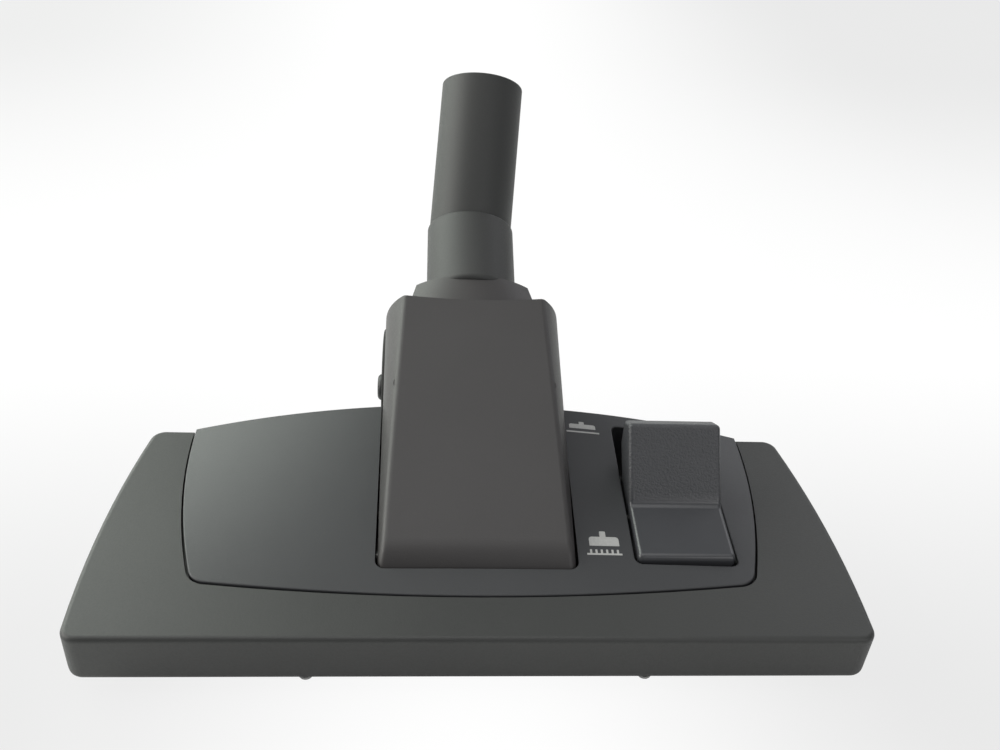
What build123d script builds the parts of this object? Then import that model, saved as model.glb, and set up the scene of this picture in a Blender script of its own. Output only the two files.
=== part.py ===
from build123d import *
import os
from math import cos, radians, sin, sqrt

# Floor brush head of a vacuum cleaner, millimetres.
# X runs to the right, Y to the back and Z up. The origin lies on the sole's underside.

# Base housing
base_depth = 114.0
base_front = 55.0
base_half_front = 139.8
base_half_mid = 140.0
base_half_rear = 133.6
base_mid_y = 5.0
front_corner_r = 6.0
rear_corner_r = 6.0
housing_bottom = 1.0
deck_z = 21.5
shell = 2.4
top_edge_r = 2.0
bottom_edge_r = 3.0
side_round_r = 9.0
side_round_margin = 0.9

# Top cover let into the housing
front_band = 20.2
front_bow = 6.4
side_band_front = 38.0
side_band_mid = 28.9
side_band_rear = 17.3
panel_mid_y = 6.0
panel_corner_r = 8.0
panel_gap = 0.8
cover_edge_r = 0.6
cover_wall = 2.4
ledge_top = 17.5
ledge_thick = 2.0
ledge_width = 7.0
crown_rise = 16.4
crown_front_rise = 0.05
crown_margin = 3.5

# Sole plate and suction chamber
sole_thick = 1.2
sole_inset = 3.2
sole_gap = 0.8
mouth_side_band = 32.0
mouth_front_y = -28.0
mouth_rear_y = -8.0
chamber_margin = 2.0
chamber_wall = 1.8
chamber_height = 7.0
mouth_corner_r = 4.0
throat_half = 43.6
throat_rear_y = 16.0
lint_inset = 4.0
lint_width = 5.0
lint_thick = 0.8
lint_gap = 2.2
lint_rear_y = 7.5

# Bristles and their carrier
floor_drop = 6.0
bristle_side_band = 28.0
bristle_width = 5.0
bristle_front_y = -41.0
bristle_rear_y = 36.0
bristle_root = 2.4
tuft_pitch = 5.6
tuft_size = 3.6
slot_clearance = 1.5
carrier_bottom = 3.0
carrier_thick = 3.6
carrier_bar = 9.0
carrier_side_band = 21.0
carrier_link = 8.0
guide_r = 2.5
guide_boss_r = 4.6
guide_front_y = -12.0
guide_rear_y = 22.0
slide_clearance = 0.1

# Neck
pivot_y = -7.0
pivot_z = 13.0
rest_tilt = 22.5
nose_r = 18.4
hood_length = 113.0
hood_wall = 2.2
hood_drop = 10.5
face_half_front = 35.4
face_half_rear = 29.8
flank_half_front = 36.6
flank_half_rear = 38.0
flank_drop_front = 6.0
flank_drop_rear = 20.0
hood_end_bow = 2.5
hood_edge_r = 2.8
form_margin = 1.0
nose_sweep = 57.5
intake_margin = 0.6
neck_gap = 0.8
tilt_pin_r = 2.5
tilt_boss_r = 6.0
bracket_depth = 13.0
bracket_top = 16.8
running_clearance = 0.05

# Neck duct under the hood
duct_half = 26.2
duct_wall = 2.0
duct_start = 14.0
duct_floor_end = 74.0
duct_top_gap = 0.3
keel_start = 86.0
keel_drop = 28.0
flange_gap = 1.0

# Wheels
wheel_y = 95.0
wheel_r = 27.0
wheel_width = 10.0
wheel_gap = 3.0
tyre_thick = 3.0
wheel_well_gap = 1.5
axle_r = 2.5
axle_boss_r = 6.5
hub_r = 7.0
hub_cap_r = 6.0
hub_cap_rise = 2.5
hub_cap_edge_r = 2.0
dish_depth = 1.5
axle_end_gap = 1.0

# End cap and swivel elbow
swivel_drop = 5.0
cap_start = 104.0
cap_end = 128.0
cap_half_front = 30.5
cap_half_rear = 25.0
cap_keel_front = 24.0
cap_keel_rear = 22.5
cap_crown_front = 15.6
cap_crown_rear = 13.7
cap_shoulder_front = 9.0
cap_shoulder_rear = 5.5
cap_bottom = 28.0
collar_r = 20.3
collar_edge_r = 2.5
collar_recess = 3.0
collar_gap = 0.3
spigot_r = 16.8
spigot_start = 98.5
duct_bore_r = 14.8
ring_width = 3.4
ring_rim = 1.8
ring_gap = 0.6
pocket_gap = 1.0
seal_width = 2.0
seal_rim = 1.5
seal_inset = 5.0
bend_station = 170.3
bend_angle = 29.0
swing_angle = 8.0
bend_edge_r = 1.6
tube_r = 19.4
tube_length = 71.5
socket_r = 17.5
socket_depth = 50.0
tube_edge_r = 0.8

# Pedal
pedal_side_band = 13.9
pedal_width = 37.2
pedal_front_y = -18.8
pedal_fold_y = 7.1
pedal_axle_y = 10.4
pedal_proud = 2.2
pedal_rear_length = 32.0
pedal_rear_angle = 50.0
pedal_plate = 3.4
pedal_top_depth = 8.3
pedal_top_drop = 4.2
pedal_back = 10.8
pedal_waist = 9.5
pedal_fold_r = 4.0
pedal_lip_r = 2.4
pedal_corner_r = 1.9
pedal_edge_r = 1.8
pedal_side = 2.4
pedal_gap = 1.2
pedal_pivot_drop = 8.0
pedal_axle_r = 2.0
pedal_hub_r = 4.4
pedal_lift = 1.0
opening_rear_y = 52.0
opening_corner_r = 3.0
crank_reach = 9.0
crank_drop = 3.0
crank_width = 3.0
crank_pin_r = 2.0
crank_pin_clearance = 0.1
lug_width = 3.0
lug_gap = 0.5
lug_wall = 2.0
lug_slot = 5.4
lug_root = 1.0

# Screws
screw_r = 1.25
screw_head_r = 2.6
screw_head = 1.6
drive_width = 0.9
drive_length = 3.2
drive_depth = 0.8
pilot_clearance = 0.05
boss_r = 3.2
screw_grip = 6.0
pilot_depth = 9.0
tip_gap = 0.5
cover_screw_side = 0.5
cover_screw_y = 28.0
cover_screw_x = 50.0
cover_screw_front = 6.4
deck_screw_front_band = 13.0
deck_screw_front_y = -25.0
deck_screw_rear_band = 13.0
deck_screw_rear_y = 38.0
edge_screw_x = 60.0
edge_screw_front = 2.2
edge_screw_rear = 5.4
neck_screw_x = 30.0
neck_screw_front = 46.0
neck_screw_rear = 68.0

os.makedirs("parts", exist_ok=True)

front_y = -base_front
rear_y = front_y + base_depth
floor_z = -floor_drop
mouth_half = base_half_mid - mouth_side_band
lint_half = mouth_half - lint_inset
bristle_half = base_half_mid - bristle_side_band
carrier_link_x = base_half_mid - carrier_side_band


def lifted(sketch, z):
    return Pos(0, 0, z) * sketch


def mirrored_pair(x, y):
    return [(-x, y), (x, y)]


# Outline of the housing in plan
with BuildSketch() as base_plan:
    with BuildLine():
        front_edge = Line((-base_half_front, front_y), (base_half_front, front_y))
        ThreePointArc(front_edge @ 1, (base_half_mid, base_mid_y), (base_half_rear, rear_y))
        rear_edge = Line((base_half_rear, rear_y), (-base_half_rear, rear_y))
        ThreePointArc(rear_edge @ 1, (-base_half_mid, base_mid_y), front_edge @ 0)
    make_face()
    fillet(base_plan.vertices().group_by(Axis.Y)[0], front_corner_r)
    fillet(base_plan.vertices().group_by(Axis.Y)[-1], rear_corner_r)

with BuildSketch() as hollow_plan:
    add(base_plan.sketch)
    offset(amount=-shell)

# Front view of the housing, whose lower ends are rounded
round_half = base_half_mid + side_round_margin
lip_half = round_half - side_round_r
side_round_top = deck_z + shell


def end_round(inset):
    """Front view with rounded lower ends, moved inwards and drawn along the whole depth."""
    low = housing_bottom + inset
    with BuildPart() as form:
        with BuildSketch(Plane.XZ.offset(-rear_y)) as view:
            with Locations((0, (low + side_round_top) / 2)):
                Rectangle(2 * (round_half - inset), side_round_top - low)
            fillet(view.vertices().group_by(Axis.Y)[0], side_round_r - inset)
        extrude(amount=base_depth)
    return form.part


with BuildPart() as housing_hollow:
    extrude(lifted(hollow_plan.sketch, housing_bottom), amount=deck_z - shell - housing_bottom)
    add(end_round(shell), mode=Mode.INTERSECT)

with BuildSketch() as lip_plan:
    add(hollow_plan.sketch)
    with Locations((0, front_y + base_depth / 2)):
        Rectangle(2 * lip_half, base_depth, mode=Mode.INTERSECT)

# Outline of the cover in plan
panel_front_y = front_y + front_band
panel_corner_y = panel_front_y + front_bow
panel_half_front = base_half_front - side_band_front
panel_half_mid = base_half_mid - side_band_mid
panel_half_rear = base_half_rear - side_band_rear


def panel_outline(grow, corner_r):
    """Plan of the cover, grown outwards at its front and sides."""
    with BuildSketch() as plan:
        with BuildLine():
            corner_x = panel_half_front + grow
            corner_y = panel_corner_y - grow
            nose = ThreePointArc((-corner_x, corner_y), (0, panel_front_y - grow), (corner_x, corner_y))
            ThreePointArc(nose @ 1, (panel_half_mid + grow, panel_mid_y), (panel_half_rear + grow, rear_y))
            back = Line((panel_half_rear + grow, rear_y), (-panel_half_rear - grow, rear_y))
            ThreePointArc(back @ 1, (-panel_half_mid - grow, panel_mid_y), nose @ 0)
        make_face()
        fillet(plan.vertices().group_by(Axis.Y)[0], corner_r)
    return plan.sketch


recess_plan = panel_outline(panel_gap, panel_corner_r + panel_gap)
rim_plan = panel_outline(panel_gap + shell, panel_corner_r + panel_gap + shell)

with BuildSketch() as well_plan:
    add(panel_outline(-ledge_width, panel_corner_r))
    with Locations((0, rear_y)):
        Rectangle(2 * base_half_mid, 2 * ledge_width, mode=Mode.SUBTRACT)

# Neck frame: s runs along the neck from the tilt pivot, t stands square to its face
tilt_cos = cos(radians(rest_tilt))
tilt_sin = sin(radians(rest_tilt))
pivot = Vector(0, pivot_y, pivot_z)
neck_along = Vector(0, tilt_cos, tilt_sin)
neck_side = Plane(origin=pivot, x_dir=neck_along, z_dir=(1, 0, 0))


def station(s):
    return Plane(origin=pivot + neck_along * s, x_dir=(-1, 0, 0), z_dir=neck_along)


nose_clear_r = nose_r + neck_gap
flank_spread = (flank_half_rear - flank_half_front) / (hood_length + nose_r)
slot_half_front = flank_half_front + neck_gap
slot_corner_r = hood_edge_r + neck_gap
slot_half_rear = slot_half_front + flank_spread * (nose_r + (rear_y - pivot_y) / tilt_cos)

# Pedal opening
pedal_right = panel_half_mid - pedal_side_band
pedal_left = pedal_right - pedal_width
opening_left = pedal_left - pedal_gap
opening_right = pedal_right + pedal_gap
opening_front_y = pedal_front_y - pedal_gap
opening_mid_x = (opening_left + opening_right) / 2
opening_mid_y = (opening_front_y + opening_rear_y) / 2


def crown_at(x, y):
    """Height of the cover's crowned top at one place."""
    half = panel_half_rear + crown_margin
    arc_r = (half**2 + crown_rise**2) / (2 * crown_rise)
    rise = crown_rise - arc_r + sqrt(arc_r**2 - x**2)
    return deck_z + rise * (y - panel_front_y) / (rear_y - panel_front_y)


def crown_section(y, rise):
    half = panel_half_rear + crown_margin
    with BuildSketch(Plane.XZ.offset(-y)) as section:
        with BuildLine():
            foot = Line((-half, ledge_top), (half, ledge_top))
            riser = Line(foot @ 1, (half, deck_z))
            arch = ThreePointArc(riser @ 1, (0, deck_z + rise), (-half, deck_z))
            Line(arch @ 1, foot @ 0)
        make_face()
    return section.sketch


with BuildPart() as cover_form:
    loft([crown_section(panel_front_y, crown_front_rise), crown_section(rear_y, crown_rise)], ruled=True)


slot_level = crown_at(0, pivot_y - nose_clear_r)
slot_front_y = pivot_y - sqrt(nose_clear_r**2 - (slot_level - pivot_z) ** 2)


def slot_outline(grow):
    """Plan of the slot in which the neck tilts, open at the rear."""
    with BuildSketch() as plan:
        with BuildLine():
            half_front = slot_half_front + grow
            front = Line((-half_front, slot_front_y - grow), (half_front, slot_front_y - grow))
            right = Line(front @ 1, (slot_half_rear + grow, rear_y))
            back = Line(right @ 1, (-slot_half_rear - grow, rear_y))
            Line(back @ 1, front @ 0)
        make_face()
        fillet(plan.vertices().group_by(Axis.Y)[0], slot_corner_r + grow)
    return plan.sketch


def cover_outline(inset):
    """Plan of the cover between its outer edge, the neck slot and the pedal opening."""
    with BuildSketch() as plan:
        add(panel_outline(-inset, panel_corner_r - inset))
        if inset > 0:
            with Locations((0, rear_y)):
                Rectangle(2 * base_half_mid, 2 * inset, mode=Mode.SUBTRACT)
        add(slot_outline(inset), mode=Mode.SUBTRACT)
        with Locations((opening_mid_x, opening_mid_y)):
            RectangleRounded(
                opening_right - opening_left + 2 * inset,
                opening_rear_y - opening_front_y + 2 * inset,
                opening_corner_r + inset,
                mode=Mode.SUBTRACT,
            )
    return plan.sketch


cover_plan = cover_outline(0)
cover_hollow_plan = cover_outline(cover_wall)

# Pedal axle and crank places
pedal_mid_x = (pedal_left + pedal_right) / 2
pedal_fold_z = crown_at(pedal_mid_x, pedal_fold_y) + pedal_proud
pedal_front_z = crown_at(pedal_mid_x, pedal_front_y) + pedal_proud
axle_z = crown_at(pedal_mid_x, pedal_axle_y) - pedal_pivot_drop
crank_y = pedal_axle_y - crank_reach
crank_z = axle_z - crank_drop
axle_lug_half = pedal_hub_r + cover_wall / 2

# Screw places
cover_screws_at = mirrored_pair(panel_half_mid - cover_screw_side, cover_screw_y)
cover_screws_at += mirrored_pair(cover_screw_x, panel_front_y + cover_screw_front)
deck_screws_at = mirrored_pair(base_half_mid - deck_screw_front_band, deck_screw_front_y)
deck_screws_at += mirrored_pair(base_half_mid - deck_screw_rear_band, deck_screw_rear_y)
deck_screws_at += mirrored_pair(edge_screw_x, front_y + shell + edge_screw_front)
ledge_screws_at = mirrored_pair(edge_screw_x, rear_y - shell - edge_screw_rear)
sole_screws_at = deck_screws_at + ledge_screws_at
neck_screws_at = mirrored_pair(neck_screw_x, neck_screw_front) + mirrored_pair(neck_screw_x, neck_screw_rear)
guides_at = mirrored_pair(carrier_link_x, guide_front_y) + mirrored_pair(carrier_link_x, guide_rear_y)

# Hollow under the cover, with its screw bosses left standing
with BuildPart() as cover_hollow:
    extrude(lifted(cover_hollow_plan, ledge_top), amount=deck_z + crown_rise)
    add(lifted(cover_form.part, -cover_wall), mode=Mode.INTERSECT)
    with BuildSketch(Plane.XY.offset(ledge_top)):
        with Locations(*cover_screws_at):
            Circle(boss_r)
    extrude(amount=deck_z + crown_rise, mode=Mode.SUBTRACT)

# Room that the neck's rounded nose sweeps as it tilts
with BuildPart() as nose_room:
    with BuildSketch(Plane.YZ):
        with Locations((pivot_y, pivot_z)):
            Circle(nose_clear_r)
    extrude(amount=slot_half_front, both=True)
    fillet(nose_room.edges().filter_by(GeomType.CIRCLE), slot_corner_r)

# Top cover: crowned tray with the neck slot and the pedal well
with BuildPart() as top_cover:
    extrude(lifted(cover_plan, ledge_top), amount=deck_z + crown_rise)
    add(cover_form.part, mode=Mode.INTERSECT)
    add(cover_hollow.part, mode=Mode.SUBTRACT)
    with BuildSketch(Plane.YZ.offset(opening_left - cover_wall)) as axle_lug:
        with Locations((pedal_axle_y, axle_z)):
            Circle(axle_lug_half)
        with Locations((pedal_axle_y, axle_z + pedal_pivot_drop / 4)):
            Rectangle(2 * axle_lug_half, pedal_pivot_drop / 2)
    extrude(amount=cover_wall)
    extrude(Pos(opening_right - opening_left + cover_wall, 0, 0) * axle_lug.sketch, amount=cover_wall)
    with BuildSketch(Plane.YZ.offset(opening_left - cover_wall)):
        with Locations((pedal_axle_y, axle_z)):
            Circle(pedal_axle_r)
    extrude(amount=opening_right - opening_left + 2 * cover_wall, mode=Mode.SUBTRACT)
    with BuildSketch(Plane.XY.offset(ledge_top)):
        with Locations(*cover_screws_at):
            Circle(screw_r + pilot_clearance)
    extrude(amount=screw_grip - ledge_thick, mode=Mode.SUBTRACT)
    add(nose_room.part, mode=Mode.SUBTRACT)
    crown_face = top_cover.faces().sort_by(SortBy.AREA)[-1]
    fillet(crown_face.inner_wires()[0].edges(), cover_edge_r)
    crown_face = top_cover.faces().sort_by(SortBy.AREA)[-1]
    rim = crown_face.outer_wire().edges()
    fillet(rim.filter_by(lambda edge: abs(edge.center().X) > slot_half_rear), cover_edge_r)
top_cover.part.label = "top_cover"
export_step(top_cover.part, "parts/top_cover.step")

# Suction chamber inside the housing: two arms along the mouth and a throat under the neck
sole_top = sole_thick
chamber_half = mouth_half + chamber_margin
chamber_front_y = mouth_front_y - chamber_margin
chamber_rear_y = mouth_rear_y + chamber_margin

with BuildSketch() as throat_plan:
    with Locations((0, (chamber_front_y + throat_rear_y) / 2)):
        Rectangle(2 * throat_half, throat_rear_y - chamber_front_y)

with BuildSketch() as chamber_plan:
    with Locations((0, (chamber_front_y + chamber_rear_y) / 2)):
        Rectangle(2 * chamber_half, chamber_rear_y - chamber_front_y)
    add(throat_plan.sketch)

with BuildSketch() as chamber_shell_plan:
    add(chamber_plan.sketch)
    offset(amount=chamber_wall, kind=Kind.INTERSECTION)

bracket_inner = flank_half_front + neck_gap
bracket_outer = throat_half + chamber_wall

# Base housing: shell, ledge for the cover, suction chamber, brackets, bosses and guide posts
with BuildPart() as base_housing:
    extrude(lifted(base_plan.sketch, housing_bottom), amount=deck_z - housing_bottom)
    fillet(base_housing.edges().group_by(Axis.Z)[-1], top_edge_r)
    fillet(base_housing.edges().group_by(Axis.Z)[0], bottom_edge_r)
    add(end_round(0), mode=Mode.INTERSECT)
    add(housing_hollow.part, mode=Mode.SUBTRACT)
    extrude(lifted(lip_plan.sketch, housing_bottom), amount=side_round_r, mode=Mode.SUBTRACT)
    extrude(lifted(rim_plan, ledge_top - ledge_thick), amount=deck_z - shell - ledge_top + ledge_thick)
    extrude(lifted(recess_plan, ledge_top), amount=deck_z, mode=Mode.SUBTRACT)
    extrude(lifted(well_plan.sketch, housing_bottom), amount=deck_z, mode=Mode.SUBTRACT)
    extrude(lifted(chamber_shell_plan.sketch, sole_top), amount=chamber_height + chamber_wall)
    extrude(lifted(chamber_plan.sketch, sole_top), amount=chamber_height, mode=Mode.SUBTRACT)
    extrude(lifted(throat_plan.sketch, sole_top), amount=deck_z, mode=Mode.SUBTRACT)
    with BuildSketch(Plane.XY.offset(sole_top)):
        with Locations((0, chamber_front_y - chamber_wall / 2)):
            Rectangle(2 * bracket_outer, chamber_wall)
    extrude(amount=ledge_top - ledge_thick - sole_top)
    with BuildSketch(Plane.XY.offset(sole_top)):
        for side in (-1, 1):
            with Locations((side * (bracket_inner + bracket_outer) / 2, pivot_y)):
                Rectangle(bracket_outer - bracket_inner, bracket_depth)
    extrude(amount=bracket_top - sole_top)
    with BuildSketch(Plane.YZ):
        with Locations((pivot_y, pivot_z)):
            Circle(tilt_pin_r)
    extrude(amount=bracket_outer, both=True, mode=Mode.SUBTRACT)
    with BuildSketch(Plane.YZ):
        with Locations((pivot_y, pivot_z)):
            Circle(nose_clear_r)
    extrude(amount=bracket_inner, both=True, mode=Mode.SUBTRACT)
    with BuildSketch(Plane.XY.offset(sole_top)):
        with Locations(*deck_screws_at):
            Circle(boss_r)
        with Locations(*guides_at):
            Circle(guide_r)
    extrude(amount=deck_z - shell - sole_top)
    with BuildSketch(Plane.XY.offset(sole_top)):
        with Locations(*ledge_screws_at):
            Circle(boss_r)
    extrude(amount=ledge_top - ledge_thick - sole_top)
    with BuildSketch(Plane.XY.offset(sole_top)):
        with Locations(*sole_screws_at):
            Circle(screw_r + pilot_clearance)
    extrude(amount=pilot_depth, mode=Mode.SUBTRACT)
    with BuildSketch(Plane.XY.offset(ledge_top)):
        with Locations(*cover_screws_at):
            Circle(screw_r + pilot_clearance)
    extrude(amount=-ledge_thick, mode=Mode.SUBTRACT)
base_housing.part.label = "base_housing"
export_step(base_housing.part, "parts/base_housing.step")


def screw_group(places, seat_z, grip):
    """Pan-head screws driven upwards, with their heads under the seat."""
    with BuildPart() as screws:
        with BuildSketch(Plane.XY.offset(seat_z)):
            with Locations(*places):
                Circle(screw_head_r)
        extrude(amount=-screw_head)
        fillet(screws.edges().group_by(Axis.Z)[0], screw_head / 2)
        with BuildSketch(Plane.XY.offset(seat_z - screw_head)):
            with Locations(*places):
                Rectangle(drive_length, drive_width)
                Rectangle(drive_width, drive_length)
        extrude(amount=drive_depth, mode=Mode.SUBTRACT)
        with BuildSketch(Plane.XY.offset(seat_z)):
            with Locations(*places):
                Circle(screw_r)
        extrude(amount=grip)
    return screws.part


cover_screws = screw_group(cover_screws_at, ledge_top - ledge_thick, screw_grip - tip_gap)
cover_screws.label = "cover_screws"
export_step(cover_screws, "parts/cover_screws.step")

sole_screws = screw_group(sole_screws_at, 0, sole_top + screw_grip)
sole_screws.label = "sole_screws"
export_step(sole_screws, "parts/sole_screws.step")

# Sole plate with the suction mouth and the slots for the bristles
bristle_ys = (bristle_front_y, bristle_rear_y)
with BuildPart() as sole_plate:
    with BuildSketch():
        add(base_plan.sketch)
        offset(amount=-sole_inset)
        with Locations((0, front_y + base_depth / 2)):
            Rectangle(2 * (lip_half - sole_gap), base_depth, mode=Mode.INTERSECT)
        with Locations((0, (mouth_front_y + mouth_rear_y) / 2)):
            RectangleRounded(2 * mouth_half, mouth_rear_y - mouth_front_y, mouth_corner_r, mode=Mode.SUBTRACT)
        for y in bristle_ys:
            with Locations((0, y)):
                SlotOverall(
                    2 * (bristle_half + slot_clearance) + bristle_width,
                    bristle_width + 2 * slot_clearance,
                    mode=Mode.SUBTRACT,
                )
        with Locations(*sole_screws_at):
            Circle(screw_r + pilot_clearance, mode=Mode.SUBTRACT)
    extrude(amount=sole_thick)
sole_plate.part.label = "sole_plate"
export_step(sole_plate.part, "parts/sole_plate.step")


def lint_strip(mid_y, name):
    with BuildPart() as strip:
        with BuildSketch():
            with Locations((0, mid_y)):
                RectangleRounded(2 * lint_half, lint_width, lint_width / 3)
        extrude(amount=-lint_thick)
    strip.part.label = name
    export_step(strip.part, "parts/" + name + ".step")


lint_strip(mouth_front_y - lint_gap - lint_width / 2, "lint_strip_front")
lint_strip(lint_rear_y, "lint_strip_rear")

# Brush carrier: two bars joined by end links, and the lug that the pedal's crank lifts
lug_left = pedal_mid_x - lug_width / 2
lug_slot_half = crank_pin_r + crank_pin_clearance
lug_high = crank_z + lug_slot_half + lug_wall
lug_front_y = crank_y - lug_slot / 2 - lug_wall
lug_rear_y = pedal_axle_y - pedal_hub_r - lug_gap

with BuildPart() as brush_carrier:
    with BuildSketch(Plane.XY.offset(carrier_bottom)):
        for y in bristle_ys:
            with Locations((0, y)):
                Rectangle(2 * carrier_link_x + carrier_link, carrier_bar)
        for side in (-1, 1):
            with Locations((side * carrier_link_x, (bristle_front_y + bristle_rear_y) / 2)):
                Rectangle(carrier_link, bristle_rear_y - bristle_front_y)
        with Locations(*guides_at):
            Circle(guide_boss_r)
        with Locations(*guides_at):
            Circle(guide_r + slide_clearance, mode=Mode.SUBTRACT)
    extrude(amount=carrier_thick)
    for y in bristle_ys:
        with BuildSketch(Plane.XY.offset(carrier_bottom)):
            with Locations((0, y)):
                Rectangle(2 * bristle_half, bristle_width)
        extrude(amount=bristle_root, mode=Mode.SUBTRACT)
    with BuildSketch(Plane.YZ.offset(lug_left)):
        with BuildLine():
            Polyline(
                (bristle_rear_y - carrier_bar / 2 + lug_root, carrier_bottom),
                (bristle_rear_y - carrier_bar / 2 + lug_root, carrier_bottom + lug_width),
                (lug_rear_y, carrier_bottom + lug_width),
                (lug_rear_y, lug_high),
                (lug_front_y, lug_high),
                (lug_front_y, carrier_bottom),
                close=True,
            )
        make_face()
        with Locations((crank_y, crank_z)):
            SlotOverall(lug_slot, 2 * lug_slot_half, mode=Mode.SUBTRACT)
    extrude(amount=lug_width)
brush_carrier.part.label = "brush_carrier"
export_step(brush_carrier.part, "parts/brush_carrier.step")


def bristle_strip(mid_y, name):
    tufts = int(2 * bristle_half / tuft_pitch)
    with BuildPart() as strip:
        with BuildSketch(Plane.XY.offset(carrier_bottom)):
            with Locations((0, mid_y)):
                Rectangle(2 * bristle_half, bristle_width)
        extrude(amount=bristle_root)
        with BuildSketch(Plane.XY.offset(carrier_bottom)):
            with Locations((0, mid_y)):
                with GridLocations(tuft_pitch, 0, tufts, 1):
                    Rectangle(tuft_size, tuft_size)
        extrude(amount=floor_z - carrier_bottom)
    strip.part.label = name
    export_step(strip.part, "parts/" + name + ".step")


bristle_strip(bristle_front_y, "front_bristles")
bristle_strip(bristle_rear_y, "rear_bristles")

# Pedal: bent plate with side walls, hub and crank
rear_cos = cos(radians(pedal_rear_angle))
rear_sin = sin(radians(pedal_rear_angle))
pedal_low = ledge_top + pedal_lift


def pedal_rear(along, below):
    """Point on the raised rear plate, along it from the fold and below its face."""
    return (
        pedal_fold_y + along * rear_cos + below * rear_sin,
        pedal_fold_z + along * rear_sin - below * rear_cos,
    )


pedal_top_y, pedal_top_z = pedal_rear(pedal_rear_length, 0)
pedal_back_y = pedal_top_y + pedal_top_depth
pedal_back_z = pedal_top_z - pedal_top_drop
heel_z = pedal_back_z - pedal_back
waist_y = pedal_back_y - pedal_waist
waist_z = heel_z - pedal_waist
hub_top = pedal_fold_z - pedal_plate / 2

with BuildPart() as pedal:
    with BuildSketch(Plane.YZ.offset(pedal_left)) as pedal_profile:
        with BuildLine():
            Polyline(
                (pedal_front_y, pedal_front_z),
                (pedal_fold_y, pedal_fold_z),
                (pedal_top_y, pedal_top_z),
                (pedal_back_y, pedal_back_z),
                (pedal_back_y, heel_z),
                (waist_y, waist_z),
                (waist_y, axle_z),
                (pedal_axle_y, axle_z - pedal_hub_r),
                (pedal_front_y, pedal_low),
                close=True,
            )
        make_face()
        lip = pedal_profile.vertices().sort_by_distance((pedal_front_y, pedal_front_z))[0]
        fold = pedal_profile.vertices().sort_by_distance((pedal_fold_y, pedal_fold_z))[0]
        fillet(pedal_profile.vertices() - [lip, fold], pedal_corner_r)
        lip = pedal_profile.vertices().sort_by_distance((pedal_front_y, pedal_front_z))[0]
        fillet(lip, pedal_lip_r)
        fold = pedal_profile.vertices().sort_by_distance((pedal_fold_y, pedal_fold_z))[0]
        fillet(fold, pedal_fold_r)
    extrude(amount=pedal_width)
    fillet(pedal.faces().sort_by(Axis.X)[0].edges(), pedal_edge_r)
    fillet(pedal.faces().sort_by(Axis.X)[-1].edges(), pedal_edge_r)
    with BuildSketch(Plane.YZ.offset(pedal_left + pedal_side)):
        with BuildLine():
            Polyline(
                (pedal_front_y + pedal_side, pedal_front_z - pedal_plate),
                (pedal_fold_y + pedal_plate * rear_sin, pedal_fold_z - pedal_plate),
                pedal_rear(pedal_rear_length - pedal_plate, pedal_plate),
                (pedal_back_y - pedal_side, pedal_back_z - pedal_plate),
                (pedal_back_y - pedal_side, axle_z - 2 * pedal_hub_r),
                (pedal_front_y + pedal_side, axle_z - 2 * pedal_hub_r),
                close=True,
            )
        make_face()
    extrude(amount=pedal_width - 2 * pedal_side, mode=Mode.SUBTRACT)
    with BuildSketch(Plane.YZ.offset(lug_left - lug_gap - crank_width)):
        with Locations((pedal_axle_y, axle_z)):
            Circle(pedal_hub_r)
        with BuildLine():
            Polyline(
                (pedal_axle_y, axle_z + pedal_hub_r),
                (crank_y, crank_z + crank_pin_r),
                (crank_y, crank_z - crank_pin_r),
                (pedal_axle_y, axle_z - pedal_hub_r),
                close=True,
            )
        make_face()
        with Locations((crank_y, crank_z)):
            Circle(crank_pin_r)
        with Locations((pedal_axle_y, (axle_z + hub_top) / 2)):
            Rectangle(2 * pedal_hub_r, hub_top - axle_z)
    extrude(amount=crank_width)
    with BuildSketch(Plane.YZ.offset(lug_left - lug_gap)):
        with Locations((crank_y, crank_z)):
            Circle(crank_pin_r)
    extrude(amount=lug_width + 2 * lug_gap)
    with BuildSketch(Plane.YZ.offset(pedal_left)):
        with Locations((pedal_axle_y, axle_z)):
            Circle(pedal_axle_r + running_clearance)
    extrude(amount=pedal_width, mode=Mode.SUBTRACT)
pedal.part.label = "pedal"
export_step(pedal.part, "parts/pedal.step")

with BuildPart() as pedal_axle:
    with BuildSketch(Plane.YZ.offset(opening_left - cover_wall)):
        with Locations((pedal_axle_y, axle_z)):
            Circle(pedal_axle_r)
    extrude(amount=opening_right - opening_left + 2 * cover_wall)
pedal_axle.part.label = "pedal_axle"
export_step(pedal_axle.part, "parts/pedal_axle.step")


def hood_profile(inset):
    """Side view of the hood in the neck frame: nose arc, face, end, flank foot and hub."""
    arc_r = nose_r - inset
    hub = hood_drop
    with BuildSketch(neck_side) as profile:
        with BuildLine():
            face = Line((hood_length, arc_r), (0, arc_r))
            nose = CenterArc((0, 0), arc_r, 90, nose_sweep)
            hub_arc = CenterArc((0, 0), hub, 225, 45)
            Line(nose @ 1, hub_arc @ 0)
            foot = Line(hub_arc @ 1, (hood_length, -hub))
            Line(foot @ 1, face @ 0)
        make_face()
    return profile.sketch


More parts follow.
